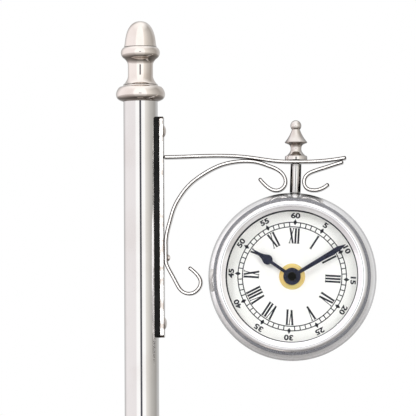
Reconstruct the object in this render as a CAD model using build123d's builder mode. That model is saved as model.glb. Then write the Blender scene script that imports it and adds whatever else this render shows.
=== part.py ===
from build123d import *
from math import cos, pi, radians, sin, sqrt
import os

os.makedirs("parts", exist_ok=True)

# A lamp post clock for a table. The origin is on the post's axis where the felt pad rests.
# +Z is up, the arm reaches along +X, and the dial faces -Y. All sizes are in millimetres.

# Clearances
fit = 0.05           # between pieces that are clamped, screwed, glued or brazed together
running = 0.06       # round a shaft that turns
end_play = 0.2       # beside a gear or a hand that turns

# Foot
foot_r = 76.0
foot_edge_h = 6.8
foot_step = 4.0
foot_waist_r = 34.0
foot_waist_z = 34.0
foot_neck_r = 15.5
foot_h = 68.0
foot_wall = 5.0
socket_depth = 8.0
pad_t = 1.6
pad_inset = 3.0
foot_round = 2.0
foot_ledge = 6.0
foot_bead_out = 4.5
foot_bead_h = 8.0
ballast_r = 56.0
ballast_h = 12.0
collar_r = 17.5
collar_h = 7.5

# Tie rod through the post, with its nut under the ballast
tie_d = 6.0
tie_nut_af = 10.0
tie_nut_h = 5.0
tie_washer_r = 7.0
tie_washer_t = 1.2
tie_seat_h = 4.0
tie_grip = 9.0

# Post
post_d = 20.6
post_wall = 1.5
post_length = 371.6

# Finial on the post: a cap, a neck with a collar, and a knob
cap_bead_r = 14.7
cap_h = 10.1
cap_top_r = 10.4
cap_spigot_h = 6.0
neck_r = 7.5
neck_h = 22.7
neck_collar_r = 11.7
neck_collar_z = 19.2
knob_r = 9.8
knob_h = 15.4
joint_groove = 0.35

# Bracket plate along the post
bracket_w = 12.0
bracket_pad_t = 1.0
plate_t = 2.4
plate_length = 132.0
plate_top_drop = 9.3
plate_corner_r = 2.0
screw_inset = 8.5
screw_shank_d = 4.0
screw_head_r = 3.75
screw_head_h = 1.3
screw_past_wall = 1.2

# Arm and scrolls, bent from one size of strip
strip_t = 2.1
arm_drop = 36.9
stem_reach = 92.9
tip_reach = 30.0
rivet_rise = 47.7
rivet_d = 2.5
rivet_head_r = 2.1
rivet_head_h = 1.3
bend_step = 2.5

# Stem
head_lean = 2.2
stem_gap = 18.5
stem_d = 6.5
stem_wall = 1.0
rod_d = 4.0
rod_into_finial = 6.0
rod_nut_af = 7.0
rod_nut_h = 3.2
rod_washer_r = 4.2
rod_washer_t = 0.8
rod_past_nut = 1.2
loop_clear = 0.3

# Small finial on the arm
finial_base_r = 6.7
finial_base_h = 2.2
finial_waist_r = 3.2
finial_waist_z = 6.4
finial_cone_r = 6.8
finial_cone_z = 10.5
finial_neck_r = 2.4
finial_neck_z = 18.1
finial_ball_r = 3.3
finial_seat = 0.25

# Clock case
case_r = 50.2
case_bulge = 3.3
case_half_depth = 11.2
case_wall = 1.2
ledge_w = 4.4
ledge_t = 1.2
back_t = 1.0
back_screw_r = 1.25
back_screw_head_r = 2.3
back_screw_head_h = 1.2
back_screw_l = 3.4
back_screws_n = 4

# Dial, glass and bezel, front to back
dial_t = 0.8
dial_depth = 4.6
glass_t = 1.3
glass_inner_f = 12.3
glass_under_lip = 0.5
gasket_t = 0.35
bezel_inset = 0.4
bezel_edge_h = 1.15
bezel_step_w = 1.4
bezel_crest_w = 1.7
bezel_crest_rise = 4.8
bezel_band_w = 2.2
bezel_lip_w = 1.8
spacer_t = 1.6
spacer_play = 0.1

# Hands
hub_r = 5.15
minute_tip_clear = 2.9
minute_angle = 59.6
minute_root_w = 1.9
minute_belly_w = 3.1
minute_point_l = 5.0
hour_shorter = 8.1
hour_angle = -55.2
hour_root_w = 1.9
hour_spade_w = 6.0
hour_point_l = 11.6
hand_t = 0.4
hand_gap = 0.7
hand_cap_r = 2.6
hand_cap_h = 0.8
bushing_r = 4.0
bushing_flange_r = 6.0
bushing_flange_t = 0.8
brass_washer_r = 7.75
brass_washer_t = 0.5
brass_nut_r = 6.35
brass_nut_h = 1.7
rubber_washer_r = 9.0
rubber_washer_t = 0.8

# Quartz movement
move_corner_r = 2.5
move_corner_clear = 3.94
move_depth = 16.0
move_wall = 1.0
move_front_depth = 6.0
mid_plate_f = -3.4
mid_plate_t = 1.0
gear_module = 0.3
pinion_teeth = 15
wheel_teeth = 45
small_teeth = 12
hour_teeth = 48
gear_angle = 40.0
arbor_r = 0.8
pipe_r = 2.5
pipe_wall = 0.7
wheel_t = 0.8
knob_disc_r = 6.0
knob_disc_h = 3.0
knob_shaft_r = 1.2
knob_ribs = 20
battery_r = 7.1
battery_end_room = 3.4
battery_nub_r = 2.6
battery_nub_h = 1.2
bay_clear = 0.3
contact_t = 0.4
coil_r = 2.6
coil_l = 18.0
core_r = 0.9

# Heights and places that follow from the sizes above
post_r = post_d / 2
post_z = foot_h - socket_depth
post_top = post_z + post_length
foot_z = pad_t + fit
plate_top = post_top - plate_top_drop
plate_back_x = post_r + fit + bracket_pad_t + fit
plate_face_x = plate_back_x + plate_t
arm_z = post_top - arm_drop
rivet_z = plate_top - plate_length + rivet_rise
brace_x = plate_face_x + 2 * fit + strip_t / 2
case_rim_r = case_r - case_bulge
ledge_r = case_rim_r - ledge_w
bezel_r = case_rim_r - bezel_inset
bezel_step_r = bezel_r - bezel_step_w
bezel_crest_r = bezel_step_r - bezel_crest_w
bezel_lip_outer_r = bezel_crest_r - bezel_band_w
bezel_opening_r = bezel_lip_outer_r - bezel_lip_w
glass_r = bezel_lip_outer_r + glass_under_lip
spacer_r = glass_r - spacer_play
minute_l = spacer_r - spacer_t - minute_tip_clear
minute_belly_l = minute_l - minute_point_l
hour_l = minute_l - hour_shorter
hour_spade_l = hour_l - hour_point_l
move_corner_reach = ledge_r - move_corner_clear - move_corner_r
move_w = 2 * (move_corner_reach / sqrt(2) + move_corner_r)
battery_l = move_w - 2 * battery_end_room
tilt = radians(head_lean)
head_drop = stem_gap + case_r
head_up = Vector(sin(tilt), 0, cos(tilt))
head_side = Vector(cos(tilt), 0, -sin(tilt))
forward = Vector(0, -1, 0)
head = Vector(stem_reach, 0, arm_z) - head_up * head_drop
dial_f = case_half_depth - dial_depth
dial_back_f = dial_f - dial_t
move_front_f = dial_back_f - rubber_washer_t - 2 * fit
move_back_f = move_front_f - move_depth
shell_split_f = move_front_f - move_front_depth
battery_f = move_front_f - move_wall - bay_clear - battery_r
bay_low = -move_w / 2 + move_wall
bay_high = bay_low + 2 * (battery_r + bay_clear)
battery_up = (bay_low + bay_high) / 2
gear_distance = gear_module * (pinion_teeth + wheel_teeth) / 2
side_of_gears = radians(gear_angle)
wheel_at = (gear_distance * cos(side_of_gears), gear_distance * sin(side_of_gears))
knob_at = (2 * wheel_at[0], 2 * wheel_at[1])
nut_f = dial_f + fit + brass_washer_t + fit
hour_hand_f = nut_f + brass_nut_h + 2 * end_play
minute_hand_f = hour_hand_f + hand_t + hand_gap
inner_wall_f = move_front_f - move_wall
flange_f = inner_wall_f - fit - bushing_flange_t
hour_wheel_f = flange_f - end_play - wheel_t
wheel_f = hour_wheel_f - 2 * end_play - wheel_t


def face_plane(f, angle=head_lean, at=(0, 0)):
    """Plane across the head, f in front of the case's middle, its own up turned clockwise from vertical.

    at moves its origin sideways and up along the leaning head.
    """
    turn = radians(angle)
    return Plane(
        origin=head + forward * f + head_side * at[0] + head_up * at[1],
        x_dir=(cos(turn), 0, -sin(turn)),
        z_dir=(0, -1, 0),
    )


def stem_plane(height):
    """Plane square to the stem, at a height above the centre of the head."""
    return Plane(origin=head + head_up * height, x_dir=head_side, z_dir=head_up)


turned = Plane(origin=head, x_dir=head_side, z_dir=(-sin(tilt), 0, -cos(tilt)))
head_axis = Axis(head, forward)

bulge_radius = (case_half_depth**2 + case_bulge**2) / (2 * case_bulge)


def case_inner_r(f):
    """Radius of the case's inner wall at a distance f in front of its middle."""
    return case_r - bulge_radius + sqrt((bulge_radius - case_wall) ** 2 - f**2)


# Foot: a turned casting, open underneath for the ballast
recess_r = ballast_r + 1.0
recess_z = foot_z + fit + ballast_h + fit
edge_top = foot_z + foot_edge_h
step_z = edge_top + foot_step / 2
bead_top_z = foot_waist_z + foot_bead_h
with BuildPart() as base_foot:
    with BuildSketch(Plane.XZ):
        with BuildLine():
            start = (foot_r - foot_round, foot_z)
            edge = (foot_r - foot_round, edge_top)
            ThreePointArc(start, (foot_r, foot_z + foot_edge_h / 2), edge)
            Polyline(edge, (foot_r - foot_ledge, edge_top), (foot_r - foot_ledge, step_z))
            ogee_top = (foot_waist_r, foot_waist_z)
            Spline(
                (foot_r - foot_ledge, step_z),
                (0.8 * foot_r, 0.62 * step_z + 0.38 * foot_waist_z),
                (0.6 * foot_r, 0.34 * step_z + 0.66 * foot_waist_z),
                ogee_top,
                tangents=[(-0.2, 1), (-0.25, 1)],
            )
            bead = (foot_waist_r + foot_bead_out / 3, foot_waist_z)
            Line(ogee_top, bead)
            bead_crest = (foot_waist_r + foot_bead_out, foot_waist_z + foot_bead_h / 2)
            ThreePointArc(bead, bead_crest, (bead[0], bead_top_z))
            Line((bead[0], bead_top_z), (foot_waist_r, bead_top_z))
            Spline(
                (foot_waist_r, bead_top_z),
                (0.78 * foot_neck_r + 0.22 * foot_waist_r, 0.45 * bead_top_z + 0.55 * foot_h),
                (foot_neck_r, foot_h),
                tangents=[(-1, 0.25), (-0.1, 1)],
            )
            Polyline(
                (foot_neck_r, foot_h),
                (post_r + fit, foot_h),
                (post_r + fit, post_z - fit),
                (tie_d / 2 + 2 * fit, post_z - fit),
                (tie_d / 2 + 2 * fit, post_z - foot_wall),
                (foot_neck_r - foot_wall, post_z - foot_wall),
                (0.5 * foot_waist_r, recess_z),
                (recess_r, recess_z),
                (recess_r, foot_z),
                start,
            )
        make_face()
    revolve(axis=Axis.Z)
base_foot.part.label = "base_foot"
export_step(base_foot.part, "parts/base_foot.step")

# Felt pad, glued under the foot
with BuildPart() as base_pad:
    with BuildSketch():
        Circle(foot_r - pad_inset)
    extrude(amount=pad_t)
base_pad.part.label = "base_pad"
export_step(base_pad.part, "parts/base_pad.step")

# Iron ballast, counterbored from below for the tie rod's nut
ballast_z = foot_z + fit
nut_room = ballast_h - tie_seat_h
with BuildPart() as ballast_disc:
    with BuildSketch(Plane.XY.offset(ballast_z)):
        Circle(ballast_r)
        Circle(tie_d / 2 + 2 * fit, mode=Mode.SUBTRACT)
    extrude(amount=ballast_h)
    with BuildSketch(Plane.XY.offset(ballast_z)):
        Circle(tie_washer_r + 1)
    extrude(amount=nut_room, mode=Mode.SUBTRACT)
    chamfer(ballast_disc.edges().filter_by(GeomType.CIRCLE).sort_by(SortBy.RADIUS)[-2:], 0.8)
ballast_disc.part.label = "ballast_disc"
export_step(ballast_disc.part, "parts/ballast_disc.step")

tie_washer_z = ballast_z + nut_room - fit - tie_washer_t
with BuildPart() as tie_rod_washer:
    with BuildSketch(Plane.XY.offset(tie_washer_z)):
        Circle(tie_washer_r)
        Circle(tie_d / 2 + 2 * fit, mode=Mode.SUBTRACT)
    extrude(amount=tie_washer_t)
tie_rod_washer.part.label = "tie_rod_washer"
export_step(tie_rod_washer.part, "parts/tie_rod_washer.step")

tie_nut_z = tie_washer_z - fit - tie_nut_h
with BuildPart() as tie_rod_nut:
    with BuildSketch(Plane.XY.offset(tie_nut_z)):
        RegularPolygon(tie_nut_af / 2, 6, major_radius=False)
        Circle(tie_d / 2 + fit, mode=Mode.SUBTRACT)
    extrude(amount=tie_nut_h)
tie_rod_nut.part.label = "tie_rod_nut"
export_step(tie_rod_nut.part, "parts/tie_rod_nut.step")

# Post, a plain tube, tapped for the bracket's two screws
screw_heights = [plate_top - screw_inset, plate_top - plate_length + screw_inset]


def screw_holes(radius):
    """Cuts for the bracket's two screws, through whatever part is being built."""
    with BuildSketch(Plane.YZ) as holes:
        with Locations(*[(0, z) for z in screw_heights]):
            Circle(radius)
    extrude(holes.sketch, amount=plate_face_x + 1, mode=Mode.SUBTRACT)


with BuildPart() as post_tube:
    with BuildSketch(Plane.XY.offset(post_z)):
        Circle(post_r)
        Circle(post_r - post_wall, mode=Mode.SUBTRACT)
    extrude(amount=post_length)
    screw_holes(screw_shank_d / 2 + fit)
post_tube.part.label = "post_tube"
export_step(post_tube.part, "parts/post_tube.step")

# Collar that hides the joint between foot and post
with BuildPart() as base_collar:
    with BuildSketch(Plane.XZ):
        with BuildLine():
            low = foot_h + fit
            bead_r = 0.86 * collar_r
            cove_z = low + 0.62 * collar_h
            cove_r = 0.79 * collar_r
            top = (0.35 * cove_r + 0.65 * post_r, low + collar_h)
            ThreePointArc((bead_r, low), (collar_r, low + 0.31 * collar_h), (bead_r, cove_z))
            Line((bead_r, cove_z), (cove_r, cove_z))
            RadiusArc((cove_r, cove_z), top, 0.6 * collar_h)
            Polyline(top, (post_r + fit, top[1]), (post_r + fit, low), (bead_r, low))
        make_face()
    revolve(axis=Axis.Z)
base_collar.part.label = "base_collar"
export_step(base_collar.part, "parts/base_collar.step")

# Finial on the post, turned in three pieces and threaded on the tie rod
cap_z = post_top + fit
rod_clear = tie_d / 2 + fit
with BuildPart() as post_cap:
    with BuildSketch(Plane.XZ):
        with BuildLine():
            rim = (post_r + 0.2, cap_z)
            widest = (cap_bead_r, cap_z + 0.45 * cap_h)
            shoulder = (cap_top_r + 1.6, cap_z + 0.88 * cap_h)
            upper = (cap_top_r, cap_z + cap_h - joint_groove)
            Spline(
                rim,
                (rim[0] + 0.72 * (cap_bead_r - rim[0]), cap_z + 0.14 * cap_h),
                widest,
                shoulder,
                upper,
                tangents=[(1, 0.35), (-0.8, 1)],
            )
            Polyline(
                upper,
                (upper[0] - 1.0, upper[1]),
                (upper[0] - 1.0, cap_z + cap_h),
                (rod_clear, cap_z + cap_h),
                (rod_clear, cap_z - cap_spigot_h),
                (post_r - post_wall - fit, cap_z - cap_spigot_h),
                (post_r - post_wall - fit, cap_z),
                rim,
            )
        make_face()
    revolve(axis=Axis.Z)
post_cap.part.label = "post_cap"
export_step(post_cap.part, "parts/post_cap.step")

neck_z = cap_z + cap_h + fit
with BuildPart() as finial_neck:
    with BuildSketch(Plane.XZ):
        with BuildLine():
            foot_edge = (cap_top_r, neck_z)
            waist_low = (neck_r, neck_z + 0.24 * neck_h)
            waist_high = (neck_r, neck_z + 0.5 * neck_h)
            collar_low = (0.86 * neck_collar_r, neck_z + neck_collar_z - 3.4)
            collar_high = (0.86 * neck_collar_r, neck_z + neck_h - joint_groove)
            Spline(
                foot_edge,
                (0.5 * (foot_edge[0] + neck_r) - 0.6, neck_z + 0.11 * neck_h),
                waist_low,
                tangents=[(-1, 0.7), (0, 1)],
            )
            Line(waist_low, waist_high)
            hollow = (neck_r + 1.6, neck_z + 0.66 * neck_h)
            Spline(waist_high, hollow, collar_low, tangents=[(0, 1), (1, 0.6)])
            ThreePointArc(collar_low, (neck_collar_r, neck_z + neck_collar_z), collar_high)
            Polyline(
                collar_high,
                (collar_high[0] - 0.9, collar_high[1]),
                (collar_high[0] - 0.9, neck_z + neck_h),
                (rod_clear, neck_z + neck_h),
                (rod_clear, neck_z),
                foot_edge,
            )
        make_face()
    revolve(axis=Axis.Z)
finial_neck.part.label = "finial_neck"
export_step(finial_neck.part, "parts/finial_neck.step")

finial_z = neck_z + neck_h + fit
finial_top = finial_z + knob_h
with BuildPart() as finial_knob:
    with BuildSketch(Plane.XZ):
        with BuildLine():
            crown = (0, finial_top)
            hem = (knob_r, finial_z)
            Spline(
                crown,
                (0.55 * knob_r, finial_z + 0.86 * knob_h),
                (0.83 * knob_r, finial_z + 0.55 * knob_h),
                (0.95 * knob_r, finial_z + 0.16 * knob_h),
                hem,
                tangents=[(1, 0), (0.25, -1)],
            )
            Polyline(
                hem,
                (rod_clear, finial_z),
                (rod_clear, finial_z + tie_grip + fit),
                (0, finial_z + tie_grip + fit),
                crown,
            )
        make_face()
    revolve(axis=Axis.Z)
finial_knob.part.label = "finial_knob"
export_step(finial_knob.part, "parts/finial_knob.step")

tie_low = tie_nut_z - 1.0
with BuildPart() as tie_rod:
    with BuildSketch(Plane.XY.offset(tie_low)):
        Circle(tie_d / 2)
    extrude(amount=finial_z + tie_grip - tie_low)
    chamfer(tie_rod.edges().filter_by(GeomType.CIRCLE), 0.5)
tie_rod.part.label = "tie_rod"
export_step(tie_rod.part, "parts/tie_rod.step")


def strip_blank(thickness, x, corner):
    """A flat strip along the post, its face square to X."""
    with BuildSketch(Plane.YZ.offset(x)) as face:
        with Locations((0, plate_top - plate_length / 2)):
            RectangleRounded(bracket_w, plate_length, corner)
    extrude(face.sketch, amount=thickness)


# Black strip between post and plate, hollowed to the post
pad_back_x = post_r * 0.8
with BuildPart() as bracket_pad:
    strip_blank(plate_back_x - fit - pad_back_x, pad_back_x, plate_corner_r)
    with BuildSketch(Plane.XY.offset(plate_top - plate_length - 1)):
        Circle(post_r + fit)
    extrude(amount=plate_length + 2, mode=Mode.SUBTRACT)
    screw_holes(screw_shank_d / 2 + 2 * fit)
bracket_pad.part.label = "bracket_pad"
export_step(bracket_pad.part, "parts/bracket_pad.step")

with BuildPart() as bracket_plate:
    strip_blank(plate_t, plate_back_x, plate_corner_r)
    fillet(bracket_plate.faces().sort_by(Axis.X)[-1].edges(), 0.4)
    screw_holes(screw_shank_d / 2 + 2 * fit)
    with BuildSketch(Plane.YZ):
        with Locations((0, rivet_z)):
            Circle(rivet_d / 2 + fit)
    extrude(amount=plate_face_x + 1, mode=Mode.SUBTRACT)
bracket_plate.part.label = "bracket_plate"
export_step(bracket_plate.part, "parts/bracket_plate.step")


def headed_pin(z, seat_x, tail_x, shank_r, head_r, head_h):
    """A round-headed screw or rivet along X, head outwards."""
    with BuildSketch(Plane((0, 0, z), x_dir=(1, 0, 0), z_dir=(0, -1, 0))) as half:
        with BuildLine():
            dome = seat_x + fit + head_h
            Line((tail_x, 0), (dome, 0))
            ThreePointArc((dome, 0), (seat_x + 0.75 * head_h, 0.64 * head_r), (seat_x + fit, head_r))
            Polyline((seat_x + fit, head_r), (seat_x + fit, shank_r), (tail_x, shank_r), (tail_x, 0))
        make_face()
    revolve(half.sketch, axis=Axis((0, 0, z), (1, 0, 0)))


with BuildPart() as bracket_screws:
    for screw_z in screw_heights:
        tail = post_r - post_wall - screw_past_wall
        headed_pin(screw_z, plate_face_x, tail, screw_shank_d / 2, screw_head_r, screw_head_h)
bracket_screws.part.label = "bracket_screws"
export_step(bracket_screws.part, "parts/bracket_screws.step")

with BuildPart() as brace_rivet:
    headed_pin(rivet_z, brace_x + strip_t / 2, plate_back_x, rivet_d / 2, rivet_head_r, rivet_head_h)
brace_rivet.part.label = "brace_rivet"
export_step(brace_rivet.part, "parts/brace_rivet.step")

# Arm: its middle line, level at the root, dipped at the stem and lifted at the tip
root_rise = 3.3
arm_run = stem_reach - plate_face_x
touch_x = plate_face_x + 0.646 * arm_run
touch_rise = 2.75
arm_line = [
    (plate_face_x + fit, arm_z + root_rise),
    (plate_face_x + 0.2415 * arm_run, arm_z + root_rise + 0.4),
    (plate_face_x + 0.469 * arm_run, arm_z + root_rise + 0.5),
    (touch_x, arm_z + touch_rise),
    (plate_face_x + 0.8786 * arm_run, arm_z + 0.25),
    (stem_reach, arm_z),
    (stem_reach + 0.3 * tip_reach, arm_z),
    (stem_reach + 0.667 * tip_reach, arm_z + 0.75),
    (stem_reach + tip_reach, arm_z + 2.2),
]


def bent_strip(points):
    """A strip of even thickness along a smooth middle line, its width along Y."""
    with BuildSketch(Plane.XZ.offset(-bracket_w / 2)) as edge_view:
        with BuildLine():
            middle = Spline(*points, mode=Mode.PRIVATE)
            steps = round(middle.length / bend_step)
            sides = []
            for half in (strip_t / 2, -strip_t / 2):
                side = []
                for step in range(steps + 1):
                    across = (middle % (step / steps)).rotate(Axis.Z, 90)
                    side.append(middle @ (step / steps) + across * half)
                sides.append(Spline(*side))
            Line(sides[0] @ 0, sides[1] @ 0)
            Line(sides[0] @ 1, sides[1] @ 1)
        make_face()
    extrude(edge_view.sketch, amount=bracket_w)


rod_hole_r = rod_d / 2 + 3 * fit
with BuildPart() as bracket_arm:
    bent_strip(arm_line)
    with BuildSketch(stem_plane(head_drop - 2 * strip_t)):
        Circle(rod_hole_r)
    extrude(amount=4 * strip_t, mode=Mode.SUBTRACT)
bracket_arm.part.label = "bracket_arm"
export_step(bracket_arm.part, "parts/bracket_arm.step")

# Scroll points beside the stem: how far out from its flank, and what share of the drop to the case
loop_drop = stem_gap - strip_t / 2 - loop_clear
flank = stem_d / 2 + strip_t / 2


def beside_stem(side, points):
    return [(stem_reach + side * (flank + out), arm_z - share * loop_drop) for out, share in points]


# Brace: a hook under the rivet, straight along the plate, then under the arm to a scroll by the stem.
# The hook's points are in shares of its reach towards the case and in heights from the rivet, and the
# arch's in shares of its run and rise from the rivet to where it touches the arm.
flat_low = -2.6
flat_high = 9.5
flat_steps = 5
hook_clear = 3.4
hook_reach = head.X - case_r - hook_clear - strip_t / 2 - brace_x
hook = [
    (0.657, -6.0), (0.879, -9.9), (1.0, -14.8), (0.913, -19.3), (0.705, -21.6), (0.469, -20.3),
    (0.304, -15.6), (0.15, -9.6), (0.048, -5.6),
]
touch_z = arm_z + touch_rise - strip_t - 3 * fit
arch = [
    (0.014, 0.262), (0.048, 0.376), (0.098, 0.516), (0.18, 0.647), (0.292, 0.764),
    (0.449, 0.867), (0.66, 0.96), (0.85, 0.996), (1.0, 1.0),
]
brace_line = [(brace_x + out * hook_reach, rivet_z + up) for out, up in hook]
brace_line += [
    (brace_x, rivet_z + flat_low + (flat_high - flat_low) * step / flat_steps)
    for step in range(flat_steps + 1)
]
brace_line += [
    (brace_x + run * (touch_x - brace_x), rivet_z + rise * (touch_z - rivet_z)) for run, rise in arch
]
brace_line.append((touch_x + 0.225 * (stem_reach - touch_x), touch_z - 1.0))
left_scroll = [
    (12.9, 0.12), (6.6, 0.28), (2.6, 0.53), (2.2, 0.78), (5.0, 0.965), (7.8, 1.0), (12.4, 0.89), (17.7, 0.57),
]
brace_line += beside_stem(-1, left_scroll)
with BuildPart() as bracket_brace:
    bent_strip(brace_line)
    with BuildSketch(Plane.YZ.offset(plate_back_x)):
        with Locations((0, rivet_z)):
            Circle(rivet_d / 2 + fit)
    extrude(amount=plate_t + 3 * strip_t, mode=Mode.SUBTRACT)
bracket_brace.part.label = "bracket_brace"
export_step(bracket_brace.part, "parts/bracket_brace.step")

# Tip scroll: from the arm's tip back to the stem and round
tip_line = [
    (stem_reach + 0.943 * tip_reach, arm_z + 2.0 - strip_t - 3 * fit),
    (stem_reach + 0.8 * tip_reach, arm_z + 0.75 - strip_t - 3 * fit),
]
right_scroll = [
    (12.5, 0.22), (6.5, 0.33), (1.8, 0.49), (0.4, 0.71), (1.7, 0.91), (6.0, 1.0), (11.5, 0.93), (15.1, 0.78),
]
tip_line += beside_stem(1, right_scroll)
with BuildPart() as tip_scroll:
    bent_strip(tip_line)
tip_scroll.part.label = "tip_scroll"
export_step(tip_scroll.part, "parts/tip_scroll.step")

# Stem: finial, tube and rod, on the line that leans with the head
lean_rise = stem_d / 2 * sin(tilt) + 3 * fit
tube_low = case_r + fit
tube_high = head_drop - strip_t / 2 - lean_rise
with BuildPart() as stem_tube:
    with BuildSketch(stem_plane(tube_low)):
        Circle(stem_d / 2)
        Circle(stem_d / 2 - stem_wall, mode=Mode.SUBTRACT)
    extrude(amount=tube_high - tube_low)
stem_tube.part.label = "stem_tube"
export_step(stem_tube.part, "parts/stem_tube.step")

finial_foot = arm_z + strip_t / 2 + finial_seat
with BuildPart() as top_finial:
    with BuildSketch(Plane((stem_reach, 0, finial_foot), x_dir=(1, 0, 0), z_dir=(0, -1, 0))):
        with BuildLine():
            base_top = (finial_base_r - 0.2, finial_base_h)
            Polyline((0, 0), (finial_base_r, 0), (finial_base_r, 0.7 * finial_base_h), base_top)
            waist = (finial_waist_r, finial_waist_z)
            cone = (finial_cone_r, finial_cone_z)
            cove = (finial_waist_r + 1.0, 0.62 * finial_waist_z)
            Spline(base_top, cove, waist, tangents=[(-1, 0.3), (0, 1)])
            under_cone = (cone[0] - 0.3, cone[1] - 0.5)
            Spline(
                waist,
                (finial_waist_r + 0.8, 0.4 * finial_waist_z + 0.6 * finial_cone_z),
                under_cone,
                tangents=[(0, 1), (1, 0.45)],
            )
            neck = (finial_neck_r, finial_neck_z)
            Line(under_cone, cone)
            flare = (finial_neck_r + 0.38 * (cone[0] - neck[0]), 0.5 * (cone[1] + neck[1]))
            ThreePointArc(cone, flare, neck)
            ball_z = finial_neck_z + sqrt(finial_ball_r**2 - finial_neck_r**2)
            crown = (0, ball_z + finial_ball_r)
            ThreePointArc(neck, (finial_ball_r, ball_z), crown)
            Line(crown, (0, 0))
        make_face()
    revolve(axis=Axis((stem_reach, 0, 0), (0, 0, 1)))
    with BuildSketch(stem_plane(head_drop)):
        Circle(rod_hole_r)
    extrude(amount=strip_t / 2 + finial_seat + rod_into_finial + fit, mode=Mode.SUBTRACT)
top_finial.part.label = "top_finial"
export_step(top_finial.part, "parts/top_finial.step")

seat_sag = bulge_radius - case_wall - sqrt((bulge_radius - case_wall) ** 2 - rod_washer_r**2)
rod_washer_at = case_r - case_wall - seat_sag - fit - rod_washer_t
rod_nut_at = rod_washer_at - fit - rod_nut_h
with BuildPart() as stem_washer:
    with BuildSketch(stem_plane(rod_washer_at)):
        Circle(rod_washer_r)
        Circle(rod_d / 2 + fit, mode=Mode.SUBTRACT)
    extrude(amount=rod_washer_t)
stem_washer.part.label = "stem_washer"
export_step(stem_washer.part, "parts/stem_washer.step")

with BuildPart() as stem_nut:
    with BuildSketch(stem_plane(rod_nut_at)):
        RegularPolygon(rod_nut_af / 2, 6, major_radius=False)
        Circle(rod_d / 2 + fit, mode=Mode.SUBTRACT)
    extrude(amount=rod_nut_h)
stem_nut.part.label = "stem_nut"
export_step(stem_nut.part, "parts/stem_nut.step")

rod_low = rod_nut_at - rod_past_nut
rod_high = head_drop + strip_t / 2 + finial_seat + rod_into_finial
with BuildPart() as stem_rod:
    with BuildSketch(stem_plane(rod_low)):
        Circle(rod_d / 2)
    extrude(amount=rod_high - rod_low)
    chamfer(stem_rod.edges().filter_by(GeomType.CIRCLE), 0.4)
stem_rod.part.label = "stem_rod"
export_step(stem_rod.part, "parts/stem_rod.step")

# Case: a bulged drum with a ledge for the dial in front and a flange for the cover behind
case_bore_r = case_rim_r - case_wall
ledge_back_f = dial_back_f - fit - ledge_t
rear_flange_f = -case_half_depth + ledge_t
screw_ring_r = (ledge_r + case_rim_r) / 2 - 0.6
with BuildPart() as case_body:
    with BuildSketch(turned):
        with BuildLine():
            rear = (case_rim_r, -case_half_depth)
            front = (case_rim_r, case_half_depth)
            ThreePointArc(rear, (case_r, 0), front)
            inner_front = (case_inner_r(ledge_back_f), ledge_back_f)
            inner_rear = (case_inner_r(rear_flange_f), rear_flange_f)
            Polyline(
                front,
                (case_bore_r, case_half_depth),
                (case_bore_r, dial_back_f - fit),
                (ledge_r, dial_back_f - fit),
                (ledge_r, ledge_back_f),
                inner_front,
            )
            ThreePointArc(inner_front, (case_r - case_wall, 0), inner_rear)
            Polyline(inner_rear, (ledge_r, rear_flange_f), (ledge_r, -case_half_depth), rear)
        make_face()
    revolve(axis=head_axis)
    with BuildSketch(stem_plane(case_r - 3 * case_wall)):
        Circle(rod_hole_r)
    extrude(amount=4 * case_wall, mode=Mode.SUBTRACT)
    with BuildSketch(face_plane(-case_half_depth - 1)):
        with PolarLocations(screw_ring_r, back_screws_n, start_angle=45):
            Circle(back_screw_r + fit)
    extrude(amount=ledge_t + 2, mode=Mode.SUBTRACT)
case_body.part.label = "case_body"
export_step(case_body.part, "parts/case_body.step")

# Back cover, with a window for the battery and the setting knob
cover_f = -case_half_depth - fit
window = move_w - move_wall
with BuildPart() as case_back:
    with BuildSketch(face_plane(cover_f - back_t)):
        Circle(case_rim_r - 0.3)
        RectangleRounded(window, window, 3, mode=Mode.SUBTRACT)
        with PolarLocations(screw_ring_r, back_screws_n, start_angle=45):
            Circle(back_screw_r + 2 * fit, mode=Mode.SUBTRACT)
    extrude(amount=back_t)
    fillet(case_back.faces().sort_by(Axis.Y)[-1].outer_wire().edges(), 0.6)
case_back.part.label = "case_back"
export_step(case_back.part, "parts/case_back.step")

screw_seat_f = cover_f - back_t - fit
with BuildPart() as case_back_screws:
    with BuildSketch(face_plane(screw_seat_f)):
        with PolarLocations(screw_ring_r, back_screws_n, start_angle=45):
            Circle(back_screw_head_r)
    extrude(amount=-back_screw_head_h)
    fillet(case_back_screws.edges().group_by(Axis.Y)[-1], 0.6)
    with BuildSketch(face_plane(screw_seat_f)):
        with PolarLocations(screw_ring_r, back_screws_n, start_angle=45):
            Circle(back_screw_r)
    extrude(amount=back_screw_l)
case_back_screws.part.label = "case_back_screws"
export_step(case_back_screws.part, "parts/case_back_screws.step")

# Dial, seated on the ledge
with BuildPart() as dial:
    with BuildSketch(face_plane(dial_back_f)):
        Circle(case_bore_r - 0.4)
        Circle(bushing_r + 0.15, mode=Mode.SUBTRACT)
    extrude(amount=dial_t)
dial.part.label = "dial"
export_step(dial.part, "parts/dial.step")

# Inner wall between dial and glass
with BuildPart() as spacer_ring:
    with BuildSketch(face_plane(dial_f + fit)):
        Circle(spacer_r)
        Circle(spacer_r - spacer_t, mode=Mode.SUBTRACT)
    extrude(amount=glass_inner_f - dial_f - 2 * fit)
spacer_ring.part.label = "spacer_ring"
export_step(spacer_ring.part, "parts/spacer_ring.step")

with BuildPart() as glass:
    with BuildSketch(face_plane(glass_inner_f)):
        Circle(glass_r)
    extrude(amount=glass_t)
glass.part.label = "glass"
export_step(glass.part, "parts/glass.step")

gasket_f = glass_inner_f + glass_t + fit
with BuildPart() as glass_gasket:
    with BuildSketch(face_plane(gasket_f)):
        Circle(glass_r)
        Circle(bezel_opening_r + 0.3, mode=Mode.SUBTRACT)
    extrude(amount=gasket_t)
glass_gasket.part.label = "glass_gasket"
export_step(glass_gasket.part, "parts/glass_gasket.step")

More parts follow.
